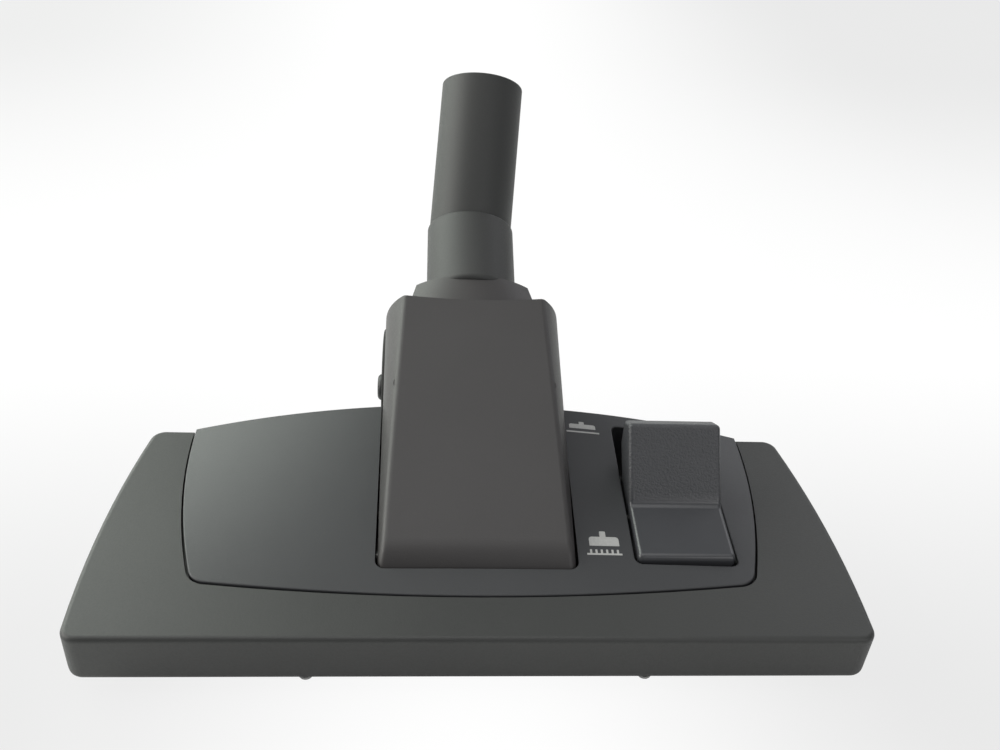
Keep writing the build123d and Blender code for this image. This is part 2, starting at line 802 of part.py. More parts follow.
def flank_section(s, face_half, flank_half, drop, inset):
    """Cross-section of the hood: flat face, bowed flanks that end upright."""
    top = nose_r + form_margin
    low = nose_r - drop
    run = flank_half - face_half
    arc_r = (run**2 + drop**2) / (2 * run)
    with BuildSketch(station(s)) as section:
        with BuildLine():
            half = flank_half - inset
            centre_x = flank_half - arc_r
            rim_x = centre_x + sqrt((arc_r - inset) ** 2 - (top - low) ** 2)
            mid_x = centre_x + sqrt((arc_r - inset) ** 2 - (top - low) ** 2 / 4)
            mid_t = (top + low) / 2
            foot = Line((-half, -hood_drop - form_margin), (half, -hood_drop - form_margin))
            right = Line(foot @ 1, (half, low))
            right_bow = ThreePointArc(right @ 1, (mid_x, mid_t), (rim_x, top))
            crest = Line(right_bow @ 1, (-rim_x, top))
            left_bow = ThreePointArc(crest @ 1, (-mid_x, mid_t), (-half, low))
            Line(left_bow @ 1, foot @ 0)
        make_face()
    return section.sketch


def hood_block(inset):
    with BuildPart() as block:
        extrude(hood_profile(inset), amount=flank_half_rear + form_margin, both=True)
        tip = -nose_r - form_margin
        front = flank_section(tip, face_half_front, flank_half_front, flank_drop_front, inset)
        rear = flank_section(hood_length, face_half_rear, flank_half_rear, flank_drop_rear, inset)
        loft([front, rear], ruled=True, mode=Mode.INTERSECT)
    return block.part


wheel_z = floor_z + wheel_r
wheel_s = (wheel_y - pivot_y) * tilt_cos + (wheel_z - pivot_z) * tilt_sin
wheel_t = (wheel_z - pivot_z) * tilt_cos - (wheel_y - pivot_y) * tilt_sin
wheel_inner = duct_half + wheel_gap
wheel_outer = wheel_inner + wheel_width
well_inner = duct_half + duct_top_gap
bow_r = (flank_half_rear**2 + hood_end_bow**2) / (2 * hood_end_bow)
nose_end = radians(90 + nose_sweep)
nose_lip = (cos(nose_end), sin(nose_end))
intake_half = flank_half_front - hood_wall - intake_margin
hood_space = hood_block(hood_wall)

duct_floor = -hood_drop + duct_wall
face_under = nose_r - hood_wall
duct_top = face_under - duct_top_gap
neck_up = Vector(0, -tilt_sin, tilt_cos)
neck_face = Plane(origin=pivot, x_dir=(1, 0, 0), z_dir=neck_up)

# Neck hood: hollow block with a round nose, drafted flanks and a bowed end
with BuildPart() as neck_hood:
    add(hood_block(0))
    hood_face = neck_hood.faces().sort_by(Axis(pivot, neck_up))[-1]
    fillet(hood_face.edges().group_by(Axis.X)[0], hood_edge_r)
    hood_face = neck_hood.faces().sort_by(Axis(pivot, neck_up))[-1]
    fillet(hood_face.edges().group_by(Axis.X)[-1], hood_edge_r)
    add(hood_space, mode=Mode.SUBTRACT)
    with BuildSketch(neck_side):
        with BuildLine():
            Polyline(
                (0, 0),
                ((nose_r - 2 * hood_wall) * nose_lip[0], (nose_r - 2 * hood_wall) * nose_lip[1]),
                ((nose_r + form_margin) * nose_lip[0], (nose_r + form_margin) * nose_lip[1]),
                (-nose_r, -nose_r),
                (0, -nose_r),
                close=True,
            )
        make_face()
    extrude(amount=intake_half, both=True, mode=Mode.SUBTRACT)
    with BuildSketch(neck_face.offset(duct_floor)):
        with Locations(*neck_screws_at):
            Circle(boss_r)
    extrude(amount=face_under + hood_wall / 2 - duct_floor)
    with BuildSketch(neck_face.offset(duct_floor)):
        with Locations(*neck_screws_at):
            Circle(screw_r + pilot_clearance)
    extrude(amount=pilot_depth, mode=Mode.SUBTRACT)
    with BuildSketch(neck_face.offset(-hood_drop)):
        with Locations((0, hood_length - hood_end_bow + bow_r)):
            Circle(bow_r)
    extrude(amount=2 * nose_r, mode=Mode.SUBTRACT)
    for side in (-1, 1):
        with BuildSketch(neck_side.offset(side * (flank_half_front - hood_wall / 2))):
            Circle(tilt_boss_r)
        extrude(amount=-side * (hood_wall + tilt_pin_r))
        with BuildSketch(neck_side.offset(side * (flank_half_front - 3 * hood_wall))):
            Circle(tilt_pin_r + running_clearance)
        extrude(amount=side * 4 * hood_wall, mode=Mode.SUBTRACT)
        with BuildSketch(neck_side.offset(side * well_inner)):
            with Locations((wheel_s, wheel_t)):
                Circle(wheel_r + wheel_well_gap)
        extrude(amount=side * 2 * wheel_width, mode=Mode.SUBTRACT)
neck_hood.part.label = "neck_hood"
export_step(neck_hood.part, "parts/neck_hood.step")

# Neck duct: channel under the hood, with the floor flange and the keel that carries the wheels
pocket_start = spigot_start - pocket_gap
pocket_r = spigot_r + ring_rim + ring_gap
floor_half = flank_half_front - hood_wall - flange_gap
with BuildPart() as neck_duct:
    with BuildSketch(neck_side):
        with BuildLine():
            Polyline(
                (duct_start, -hood_drop),
                (duct_floor_end, -hood_drop),
                (keel_start, -keel_drop),
                (wheel_s - axle_boss_r, wheel_t),
                (wheel_s + axle_boss_r, wheel_t),
                (cap_start, -keel_drop),
                (cap_start, duct_top),
                (duct_start, duct_top),
                close=True,
            )
        make_face()
        with Locations((wheel_s, wheel_t)):
            Circle(axle_boss_r)
    extrude(amount=duct_half, both=True)
    with BuildSketch(neck_side):
        with BuildLine():
            Polyline(
                (duct_start, duct_floor),
                (duct_floor_end, duct_floor),
                (keel_start, -swivel_drop - duct_bore_r),
                (pocket_start, -swivel_drop - duct_bore_r),
                (pocket_start, duct_top),
                (duct_start, duct_top),
                close=True,
            )
        make_face()
    extrude(amount=duct_half - duct_wall, both=True, mode=Mode.SUBTRACT)
    with BuildSketch(station(pocket_start)):
        with Locations((0, -swivel_drop)):
            Circle(pocket_r)
    extrude(amount=cap_start - pocket_start, mode=Mode.SUBTRACT)
    with BuildSketch(neck_face.offset(-hood_drop)):
        with Locations((0, (duct_start + duct_floor_end) / 2)):
            Rectangle(2 * floor_half, duct_floor_end - duct_start)
    extrude(amount=duct_wall)
    with BuildSketch(neck_face.offset(-hood_drop)):
        with Locations(*neck_screws_at):
            Circle(screw_r + pilot_clearance)
    extrude(amount=duct_wall, mode=Mode.SUBTRACT)
    with BuildSketch(neck_side):
        with Locations((wheel_s, wheel_t)):
            Circle(axle_r)
    extrude(amount=duct_half, both=True, mode=Mode.SUBTRACT)
neck_duct.part.label = "neck_duct"
export_step(neck_duct.part, "parts/neck_duct.step")

with BuildPart() as neck_screws:
    with BuildSketch(neck_face.offset(-hood_drop)):
        with Locations(*neck_screws_at):
            Circle(screw_head_r)
    extrude(amount=-screw_head)
    with BuildSketch(neck_face.offset(-hood_drop)):
        with Locations(*neck_screws_at):
            Circle(screw_r)
    extrude(amount=duct_wall + screw_grip)
neck_screws.part.label = "neck_screws"
export_step(neck_screws.part, "parts/neck_screws.step")

for side, name in ((-1, "tilt_pin_left"), (1, "tilt_pin_right")):
    with BuildPart() as tilt_pin:
        with BuildSketch(Plane.YZ.offset(side * (flank_half_front - 2 * hood_wall))):
            with Locations((pivot_y, pivot_z)):
                Circle(tilt_pin_r)
        extrude(amount=side * (bracket_outer - flank_half_front + 2 * hood_wall))
    tilt_pin.part.label = name
    export_step(tilt_pin.part, "parts/" + name + ".step")


def cap_section(s, half, keel_half, shoulder, crown):
    """Cross-section of the end cap: arched top, rounded shoulders and a narrow keel."""
    with BuildSketch(station(s)) as section:
        with BuildLine():
            foot = Line((-keel_half, -cap_bottom), (keel_half, -cap_bottom))
            right_keel = Line(foot @ 1, (keel_half, -swivel_drop))
            right_step = Line(right_keel @ 1, (half, shoulder / 2))
            right = Line(right_step @ 1, (half, shoulder))
            arch = ThreePointArc(right @ 1, (0, crown), (-half, shoulder))
            left = Line(arch @ 1, (-half, shoulder / 2))
            left_step = Line(left @ 1, (-keel_half, -swivel_drop))
            Line(left_step @ 1, foot @ 0)
        make_face()
    return section.sketch


# Swivel axis under the neck's axis, and the tube that bends up from it and swings to one side
swivel_axis_at = pivot - neck_up * swivel_drop
bend_point = swivel_axis_at + neck_along * bend_station
bend_cos = cos(radians(bend_angle))
bend_sin = sin(radians(bend_angle))
swing_cos = cos(radians(swing_angle))
swing_sin = sin(radians(swing_angle))
tube_along = neck_along * bend_cos + (neck_up * swing_cos + Vector(1, 0, 0) * swing_sin) * bend_sin
tube_plane = Plane(origin=bend_point, z_dir=tube_along)
mitre_plane = Plane(origin=bend_point, z_dir=neck_along + tube_along)
collar_start = cap_end - collar_recess + collar_gap


def swivel_station(s):
    return Plane(origin=swivel_axis_at + neck_along * s, x_dir=(-1, 0, 0), z_dir=neck_along)


with BuildPart() as collar_well:
    with BuildSketch(swivel_station(cap_end - collar_recess)):
        Circle(collar_r + collar_gap)
    extrude(amount=2 * collar_recess)
    fillet(collar_well.edges().sort_by(Axis.Y)[0], collar_edge_r + collar_gap)

# End cap: shoulder in which the swivel collar turns
with BuildPart() as neck_end_cap:
    loft(
        [
            cap_section(cap_start, cap_half_front, cap_keel_front, cap_shoulder_front, cap_crown_front),
            cap_section(cap_end, cap_half_rear, cap_keel_rear, cap_shoulder_rear, cap_crown_rear),
        ],
        ruled=True,
    )
    with BuildSketch(station(cap_start)):
        with Locations((0, -swivel_drop)):
            Circle(spigot_r + running_clearance)
    extrude(amount=cap_end - cap_start, mode=Mode.SUBTRACT)
    add(collar_well.part, mode=Mode.SUBTRACT)
    with BuildSketch(station(cap_start + seal_inset)):
        with Locations((0, -swivel_drop)):
            Circle(spigot_r + running_clearance + seal_rim)
    extrude(amount=seal_width, mode=Mode.SUBTRACT)
neck_end_cap.part.label = "neck_end_cap"
export_step(neck_end_cap.part, "parts/neck_end_cap.step")

with BuildPart() as swivel_seal:
    with BuildSketch(station(cap_start + seal_inset)):
        with Locations((0, -swivel_drop)):
            Circle(spigot_r + running_clearance + seal_rim)
            Circle(spigot_r + running_clearance, mode=Mode.SUBTRACT)
    extrude(amount=seal_width)
swivel_seal.part.label = "swivel_seal"
export_step(swivel_seal.part, "parts/swivel_seal.step")

# Air way through the elbow: along the spigot, round the bend and up the tube
with BuildPart() as elbow_bore:
    with BuildSketch(swivel_station(spigot_start)):
        Circle(duct_bore_r)
    extrude(amount=bend_station - spigot_start)
    with Locations(bend_point):
        Sphere(duct_bore_r)
    with BuildSketch(tube_plane):
        Circle(duct_bore_r)
    extrude(amount=tube_length)

# Swivel elbow: spigot and collar, cut off aslant with a rounded end
with BuildPart() as swivel_elbow:
    with BuildSketch(swivel_station(collar_start)):
        Circle(collar_r)
    extrude(amount=bend_station - collar_start + 2 * collar_r)
    split(bisect_by=mitre_plane, keep=Keep.BOTTOM)
    fillet(swivel_elbow.edges().sort_by(Axis.Y)[0], collar_edge_r)
    fillet(swivel_elbow.faces().sort_by(Axis.Y)[-1].edges(), bend_edge_r)
    with BuildSketch(swivel_station(spigot_start)):
        Circle(spigot_r)
    extrude(amount=collar_start - spigot_start + collar_edge_r)
    add(elbow_bore.part, mode=Mode.SUBTRACT)
    with BuildSketch(swivel_station(spigot_start + collar_gap)):
        Circle(spigot_r)
        Circle(spigot_r - ring_rim / 2, mode=Mode.SUBTRACT)
    extrude(amount=ring_width, mode=Mode.SUBTRACT)
swivel_elbow.part.label = "swivel_elbow"
export_step(swivel_elbow.part, "parts/swivel_elbow.step")

# Wand tube: welded aslant onto the collar, with a stepped socket for the wand
with BuildPart() as wand_tube:
    with BuildSketch(tube_plane.offset(-2 * tube_r)):
        Circle(tube_r)
    extrude(amount=2 * tube_r + tube_length)
    split(bisect_by=mitre_plane, keep=Keep.TOP)
    fillet(wand_tube.edges().sort_by(Axis.Z)[-1], tube_edge_r)
    add(elbow_bore.part, mode=Mode.SUBTRACT)
    with BuildSketch(tube_plane.offset(tube_length - socket_depth)):
        Circle(socket_r)
    extrude(amount=socket_depth, mode=Mode.SUBTRACT)
wand_tube.part.label = "wand_tube"
export_step(wand_tube.part, "parts/wand_tube.step")

with BuildPart() as retaining_ring:
    with BuildSketch(swivel_station(spigot_start + collar_gap)):
        Circle(spigot_r + ring_rim)
        Circle(spigot_r - ring_rim / 2, mode=Mode.SUBTRACT)
    extrude(amount=ring_width)
retaining_ring.part.label = "retaining_ring"
export_step(retaining_ring.part, "parts/retaining_ring.step")

# Wheels on the neck's axle
with BuildPart() as wheel_axle:
    with BuildSketch(Plane.YZ):
        with Locations((wheel_y, wheel_z)):
            Circle(axle_r)
    extrude(amount=wheel_outer - axle_end_gap, both=True)
wheel_axle.part.label = "wheel_axle"
export_step(wheel_axle.part, "parts/wheel_axle.step")


def wheel_set(side, name):
    rim_r = wheel_r - tyre_thick
    with BuildPart() as wheel:
        with BuildSketch(Plane.YZ.offset(side * wheel_inner)):
            with Locations((wheel_y, wheel_z)):
                Circle(rim_r)
        extrude(amount=side * wheel_width)
        with BuildSketch(Plane.YZ.offset(side * (wheel_outer - dish_depth))):
            with Locations((wheel_y, wheel_z)):
                Circle(rim_r - tyre_thick)
                Circle(hub_r, mode=Mode.SUBTRACT)
        extrude(amount=side * dish_depth, mode=Mode.SUBTRACT)
        with BuildSketch(Plane.YZ.offset(side * wheel_inner)):
            with Locations((wheel_y, wheel_z)):
                Circle(axle_r + running_clearance)
        extrude(amount=side * wheel_width, mode=Mode.SUBTRACT)
    wheel.part.label = "wheel_" + name
    export_step(wheel.part, "parts/wheel_" + name + ".step")

    with BuildPart() as tyre:
        with BuildSketch(Plane.YZ.offset(side * wheel_inner)):
            with Locations((wheel_y, wheel_z)):
                Circle(wheel_r)
                Circle(rim_r, mode=Mode.SUBTRACT)
        extrude(amount=side * wheel_width)
        tread_edges = tyre.edges().filter_by(GeomType.CIRCLE).group_by(SortBy.RADIUS)[-1]
        fillet(tread_edges, tyre_thick / 2)
    tyre.part.label = "tyre_" + name
    export_step(tyre.part, "parts/tyre_" + name + ".step")

    with BuildPart() as hub_cap:
        with BuildSketch(Plane.YZ.offset(side * wheel_outer)):
            with Locations((wheel_y, wheel_z)):
                Circle(hub_cap_r)
        extrude(amount=side * hub_cap_rise)
        brow = hub_cap.edges().sort_by(Axis((0, 0, 0), (side, 0, 0)))[-1]
        fillet(brow, hub_cap_edge_r)
    hub_cap.part.label = "hub_cap_" + name
    export_step(hub_cap.part, "parts/hub_cap_" + name + ".step")


wheel_set(-1, "left")
wheel_set(1, "right")
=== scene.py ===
import math
import random

import bmesh
import bpy
from mathutils import Matrix, Vector
from mathutils.bvhtree import BVHTree


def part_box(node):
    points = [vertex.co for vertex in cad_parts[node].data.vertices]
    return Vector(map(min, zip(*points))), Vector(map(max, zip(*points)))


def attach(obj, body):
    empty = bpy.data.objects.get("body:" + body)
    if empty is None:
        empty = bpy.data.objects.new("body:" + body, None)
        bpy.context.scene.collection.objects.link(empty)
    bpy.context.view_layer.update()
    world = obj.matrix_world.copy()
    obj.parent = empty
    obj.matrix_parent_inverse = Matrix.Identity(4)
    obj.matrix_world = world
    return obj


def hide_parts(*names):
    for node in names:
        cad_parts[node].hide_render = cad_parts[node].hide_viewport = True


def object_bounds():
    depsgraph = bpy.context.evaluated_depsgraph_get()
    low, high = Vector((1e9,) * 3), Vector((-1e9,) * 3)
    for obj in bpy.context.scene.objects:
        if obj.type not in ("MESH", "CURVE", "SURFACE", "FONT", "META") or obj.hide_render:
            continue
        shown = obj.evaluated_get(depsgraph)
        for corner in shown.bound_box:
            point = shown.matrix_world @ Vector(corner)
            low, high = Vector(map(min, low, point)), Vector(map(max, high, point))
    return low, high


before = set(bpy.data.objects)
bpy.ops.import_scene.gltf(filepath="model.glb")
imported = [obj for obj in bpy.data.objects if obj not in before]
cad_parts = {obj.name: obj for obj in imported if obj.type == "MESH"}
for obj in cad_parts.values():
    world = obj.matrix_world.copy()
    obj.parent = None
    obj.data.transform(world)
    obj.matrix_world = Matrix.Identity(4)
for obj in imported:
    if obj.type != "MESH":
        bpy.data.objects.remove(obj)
cad_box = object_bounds()

MM = 0.001
scene = bpy.context.scene
random.seed(7)


# Colours and node graphs


def linear(hex_colour):
    """An sRGB hex colour as linear RGBA."""
    parts = [int(hex_colour[i : i + 2], 16) / 255 for i in (1, 3, 5)]
    return tuple(c / 12.92 if c <= 0.04045 else ((c + 0.055) / 1.055) ** 2.4 for c in parts) + (1.0,)


def node(tree, kind, sockets=None, **settings):
    """Adds one shader node, sets its properties, and fills or links its sockets."""
    made = tree.nodes.new("ShaderNode" + kind)
    for key, value in settings.items():
        setattr(made, key, value)
    for key, value in (sockets or {}).items():
        if isinstance(value, bpy.types.NodeSocket):
            tree.links.new(value, made.inputs[key])
        else:
            made.inputs[key].default_value = value
    return made


def per_metre(millimetres):
    """Texture scale that gives one feature in so many millimetres."""
    return 1000.0 / millimetres


def start_material(name):
    """An empty material, its node tree, and the place on the piece in metres."""
    made = bpy.data.materials.new(name)
    made.use_nodes = True
    tree = made.node_tree
    tree.nodes.clear()
    place = node(tree, "TexCoord").outputs["Object"]
    return made, tree, place


def end_material(tree, **sockets):
    """Ends a material in one shader; an underscore stands for the space in a socket's name."""
    shader = node(tree, "BsdfPrincipled", {key.replace("_", " "): value for key, value in sockets.items()})
    node(tree, "OutputMaterial", {"Surface": shader.outputs["BSDF"]})


# Finishes. Each is given its darker and its lighter tone.

PLASTIC_IOR = 1.53
CLOUD_MM = 45  # slow change of tone where the melt flowed
SPECK_CELL_MM = 16  # each cell of this size may hold one speck of dust
SPECK_RADIUS_MM = 0.288
SPECK_SHARE = 0.18  # of the cells that do hold one


def moulded_plastic(name, dark, light, grain_mm, depth_mm, rough, dusty=True):
    """Moulded plastic: an even satin skin from a spark-eroded tool, faintly cloudy, with a little dust.

    The real grain is 0.1 to 0.2 mm wide, too fine to show, so it is drawn at grain_mm.
    """
    made, tree, place = start_material(name)
    cloud = node(tree, "TexNoise", {"Vector": place, "Scale": per_metre(CLOUD_MM), "Detail": 3.0})
    tones = {"Factor": cloud.outputs["Fac"], "A": linear(dark), "B": linear(light)}
    skin = node(tree, "Mix", tones, data_type="RGBA").outputs["Result"]
    if dusty:
        cells = node(tree, "TexVoronoi", {"Vector": place, "Scale": per_metre(SPECK_CELL_MM)})
        inside = {0: cells.outputs["Distance"], 1: SPECK_RADIUS_MM / SPECK_CELL_MM}
        dot = node(tree, "Math", inside, operation="LESS_THAN")
        lot = node(tree, "SeparateColor", {"Color": cells.outputs["Color"]}).outputs["Red"]
        few = node(tree, "Math", {0: lot, 1: 1 - SPECK_SHARE}, operation="GREATER_THAN")
        dust = node(tree, "Math", {0: dot.outputs[0], 1: few.outputs[0]}, operation="MULTIPLY")
        tones = {"Factor": dust.outputs[0], "A": skin, "B": linear("#8A8A86")}
        skin = node(tree, "Mix", tones, data_type="RGBA").outputs["Result"]
    grain = node(tree, "TexNoise", {"Vector": place, "Scale": per_metre(grain_mm), "Detail": 2.0})
    height = grain.outputs["Fac"]
    spread = {"Value": height, "From Min": 0.3, "From Max": 0.7, "To Min": rough[0], "To Max": rough[1]}
    satin = node(tree, "MapRange", spread)
    bump = node(tree, "Bump", {"Height": height, "Strength": 1.0, "Distance": depth_mm * MM})
    end_material(
        tree,
        Base_Color=skin,
        Roughness=satin.outputs["Result"],
        Normal=bump.outputs["Normal"],
        IOR=PLASTIC_IOR,
    )
    return made


def ground_steel(name, dark, light, streak_mm, rough):
    """Ground, rolled or plated steel: bright, with fine lines that run along the width of the head.

    The real lines are a few hundredths of a millimetre apart, too fine to show, so they are drawn at streak_mm.
    """
    made, tree, place = start_material(name)
    # a line is fifty times as long as it is wide
    drawn_out = node(tree, "Mapping", {"Vector": place, "Scale": (0.02, 1.0, 1.0)}).outputs["Vector"]
    streak = node(tree, "TexNoise", {"Vector": drawn_out, "Scale": per_metre(streak_mm), "Detail": 4.0})
    tones = {"Factor": streak.outputs["Fac"], "A": linear(dark), "B": linear(light)}
    colour = node(tree, "Mix", tones, data_type="RGBA")
    spread = {"Value": streak.outputs["Fac"], "To Min": rough * 0.8, "To Max": rough * 1.3}
    worn = node(tree, "MapRange", spread)
    bump = node(tree, "Bump", {"Height": streak.outputs["Fac"], "Strength": 0.3, "Distance": 0.02 * MM})
    end_material(
        tree,
        Base_Color=colour.outputs["Result"],
        Metallic=1.0,
        Roughness=worn.outputs["Result"],
        Normal=bump.outputs["Normal"],
    )
    return made


def soft_rubber(name, dark, light, bloom_mm):
    """Moulded rubber: near black and dull, with a powdery bloom.

    The real bloom is about 0.1 mm fine, too fine to show, so it is drawn at bloom_mm.
    """
    made, tree, place = start_material(name)
    bloom = node(tree, "TexNoise", {"Vector": place, "Scale": per_metre(bloom_mm), "Detail": 5.0})
    tones = {"Factor": bloom.outputs["Fac"], "A": linear(dark), "B": linear(light)}
    colour = node(tree, "Mix", tones, data_type="RGBA")
    bump = node(tree, "Bump", {"Height": bloom.outputs["Fac"], "Strength": 0.6, "Distance": 0.05 * MM})
    end_material(
        tree,
        Base_Color=colour.outputs["Result"],
        Roughness=0.8,
        Normal=bump.outputs["Normal"],
        IOR=1.5,
    )
    return made


def pile_fabric(name, dark, light, pile_mm):
    """Short-pile lint fabric: velvet that leans one way and catches light at its edge.

    The real fibres are a few hundredths of a millimetre thick, so the pile is drawn in bundles of pile_mm.
    """
    made, tree, place = start_material(name)
    leaning = node(tree, "Mapping", {"Vector": place, "Scale": (1.0, 0.35, 1.0)}).outputs["Vector"]
    pile = node(tree, "TexNoise", {"Vector": leaning, "Scale": per_metre(pile_mm), "Detail": 4.0})
    tones = {"Factor": pile.outputs["Fac"], "A": linear(dark), "B": linear(light)}
    colour = node(tree, "Mix", tones, data_type="RGBA")
    bump = node(tree, "Bump", {"Height": pile.outputs["Fac"], "Strength": 1.0, "Distance": 0.3 * MM})
    end_material(
        tree,
        Base_Color=colour.outputs["Result"],
        Roughness=0.95,
        Normal=bump.outputs["Normal"],
        Sheen_Weight=0.4,
        Sheen_Roughness=0.4,
    )
    return made


def pedal_plastic(name, dark, light, smooth_rough, grained_rough, fold_y):
    """Moulded ABS foot pedal: a half-gloss front pad, and a rear face with a coarse sparkling tool grain."""
    made, tree, place = start_material(name)
    along = node(tree, "SeparateXYZ", {"Vector": place}).outputs["Y"]
    # the grain starts just behind the fold and fades in over 3 mm
    fade = {"Value": along, "From Min": fold_y, "From Max": fold_y + 3 * MM}
    rear = node(tree, "MapRange", fade).outputs["Result"]
    cloud = node(tree, "TexNoise", {"Vector": place, "Scale": per_metre(30), "Detail": 3.0})
    tones = {"Factor": cloud.outputs["Fac"], "A": linear(dark), "B": linear(light)}
    colour = node(tree, "Mix", tones, data_type="RGBA")
    # the real grain is about 0.3 mm wide, drawn at 0.9 mm so that it shows at this picture size
    grain = node(tree, "TexNoise", {"Vector": place, "Scale": per_metre(0.9), "Detail": 2.0})
    height = node(tree, "Math", {0: grain.outputs["Fac"], 1: rear}, operation="MULTIPLY")
    bump = node(tree, "Bump", {"Height": height.outputs[0], "Strength": 1.0, "Distance": 0.3 * MM})
    rough = node(tree, "MapRange", {"Value": rear, "To Min": smooth_rough, "To Max": grained_rough})
    end_material(
        tree,
        Base_Color=colour.outputs["Result"],
        Roughness=rough.outputs["Result"],
        Normal=bump.outputs["Normal"],
        IOR=PLASTIC_IOR,
    )
    return made


def printed_ink(name, dark, light):
    """Pad-printed ink: a thin flat grey film, a little uneven where the pad left less ink."""
    made, tree, place = start_material(name)
    # the real thin places are 0.1 to 0.2 mm wide, drawn at 0.8 mm so that they show
    thin = node(tree, "TexNoise", {"Vector": place, "Scale": per_metre(0.8), "Detail": 3.0})
    tones = {"Factor": thin.outputs["Fac"], "A": linear(dark), "B": linear(light)}
    colour = node(tree, "Mix", tones, data_type="RGBA")
    end_material(tree, Base_Color=colour.outputs["Result"], Roughness=0.5)
    return made


def drawn_nylon(name, root, tip, low_z, high_z):
    """Drawn nylon filament: dark and waxy, paler towards the worn tips."""
    made, tree, place = start_material(name)
    level = node(tree, "SeparateXYZ", {"Vector": place}).outputs["Z"]
    worn = node(tree, "MapRange", {"Value": level, "From Min": high_z, "From Max": low_z})
    # a filament is 0.2 to 0.3 mm thick; the tone changes every 0.6 mm, so that it shows from one to the next
    strand = node(tree, "TexNoise", {"Vector": place, "Scale": per_metre(0.6), "Detail": 2.0})
    pale = node(tree, "Math", {0: worn.outputs["Result"], 1: strand.outputs["Fac"]}, operation="MULTIPLY")
    tones = {"Factor": pale.outputs[0], "A": linear(root), "B": linear(tip)}
    colour = node(tree, "Mix", tones, data_type="RGBA")
    end_material(tree, Base_Color=colour.outputs["Result"], Roughness=0.4, IOR=PLASTIC_IOR)
    return made


housing_abs = moulded_plastic(
    "ABS moulded satin housing", "#2C2D2C", "#343534", grain_mm=0.7, depth_mm=0.03, rough=(0.42, 0.52)
)
cover_abs = moulded_plastic(
    "ABS moulded satin cover", "#2D2E30", "#353638", grain_mm=0.6, depth_mm=0.02, rough=(0.41, 0.49)
)
neck_abs = moulded_plastic(
    "ABS moulded satin neck", "#312F2F", "#393737", grain_mm=0.7, depth_mm=0.03, rough=(0.42, 0.52)
)
tube_abs = moulded_plastic(
    "ABS moulded satin tube", "#2C2D2C", "#343534", grain_mm=0.8, depth_mm=0.02, rough=(0.52, 0.60)
)
pedal_abs = pedal_plastic(
    "ABS moulded half-gloss pedal", "#3A3B3E", "#424346", smooth_rough=0.24, grained_rough=0.40, fold_y=8 * MM
)
inner_pp = moulded_plastic(
    "polypropylene moulded inner part",
    "#1E1F20",
    "#26272A",
    grain_mm=1.2,
    depth_mm=0.03,
    rough=(0.5, 0.62),
    dusty=False,
)
wheel_pom = moulded_plastic(
    "acetal moulded wheel", "#1C1D1E", "#242526", grain_mm=1.0, depth_mm=0.02, rough=(0.4, 0.5), dusty=False
)
sole_steel = ground_steel("stainless steel rolled sole", "#A9A9A6", "#C6C6C2", streak_mm=0.6, rough=0.3)
pin_steel = ground_steel("steel ground pin", "#9A9A98", "#B9B9B6", streak_mm=0.4, rough=0.25)
screw_steel = ground_steel("steel zinc-plated screw", "#8F9092", "#B0B0AE", streak_mm=0.5, rough=0.35)
tyre_rubber = soft_rubber("rubber moulded tyre", "#161616", "#242423", bloom_mm=0.8)
seal_rubber = soft_rubber("rubber moulded seal", "#121212", "#1C1C1C", bloom_mm=0.8)
lint_velvet = pile_fabric("nylon woven lint velvet", "#4A1014", "#7A2024", pile_mm=0.5)
bristle_low, bristle_high = (corner[2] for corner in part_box("front_bristles"))
bristle_nylon = drawn_nylon("nylon drawn bristle", "#141414", "#3A3936", bristle_low, bristle_high)
mark_ink = printed_ink("acrylic ink pad-printed mark", "#9C9C9A", "#B8B8B6")

NODE_FINISH = {
    "base_housing": housing_abs,
    "top_cover": cover_abs,
    "sole_plate": sole_steel,
    "lint_strip_front": lint_velvet,
    "lint_strip_rear": lint_velvet,
    "cover_screws": screw_steel,
    "sole_screws": screw_steel,
    "neck_screws": screw_steel,
    "pedal_axle": pin_steel,
    "tilt_pin_left": pin_steel,
    "tilt_pin_right": pin_steel,
    "wheel_axle": pin_steel,
    "brush_carrier": inner_pp,
    "front_bristles": bristle_nylon,
    "rear_bristles": bristle_nylon,
    "pedal": pedal_abs,
    "neck_hood": neck_abs,
    "neck_duct": inner_pp,
    "neck_end_cap": neck_abs,
    "swivel_seal": seal_rubber,
    "wheel_left": wheel_pom,
    "wheel_right": wheel_pom,
    "hub_cap_left": wheel_pom,
    "hub_cap_right": wheel_pom,
    "tyre_left": tyre_rubber,
    "tyre_right": tyre_rubber,
    "swivel_elbow": tube_abs,
    "wand_tube": tube_abs,
    "retaining_ring": inner_pp,
}
for name, finish in NODE_FINISH.items():
    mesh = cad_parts[name].data
    mesh.materials.clear()
    mesh.materials.append(finish)


# New pieces


def add_piece(name, bm, finish, body):
    """Turns a finished bmesh into a piece that rides on a body."""
    bmesh.ops.recalc_face_normals(bm, faces=bm.faces)
    mesh = bpy.data.meshes.new(name)
    bm.to_mesh(mesh)
    bm.free()
    mesh.materials.append(finish)
    piece = bpy.data.objects.new(name, mesh)
    scene.collection.objects.link(piece)
    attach(piece, body)
    return piece


# The two marks on the cover

INK_LIFT = 0.03 * MM  # keeps the film clear of the cover's facets
INK_FILM = 0.02 * MM
ABOVE_ALL = 1.0  # height from which the cover is felt for

cover_bm = bmesh.new()
cover_bm.from_mesh(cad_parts["top_cover"].data)
cover_tree = BVHTree.FromBMesh(cover_bm)
cover_bm.free()


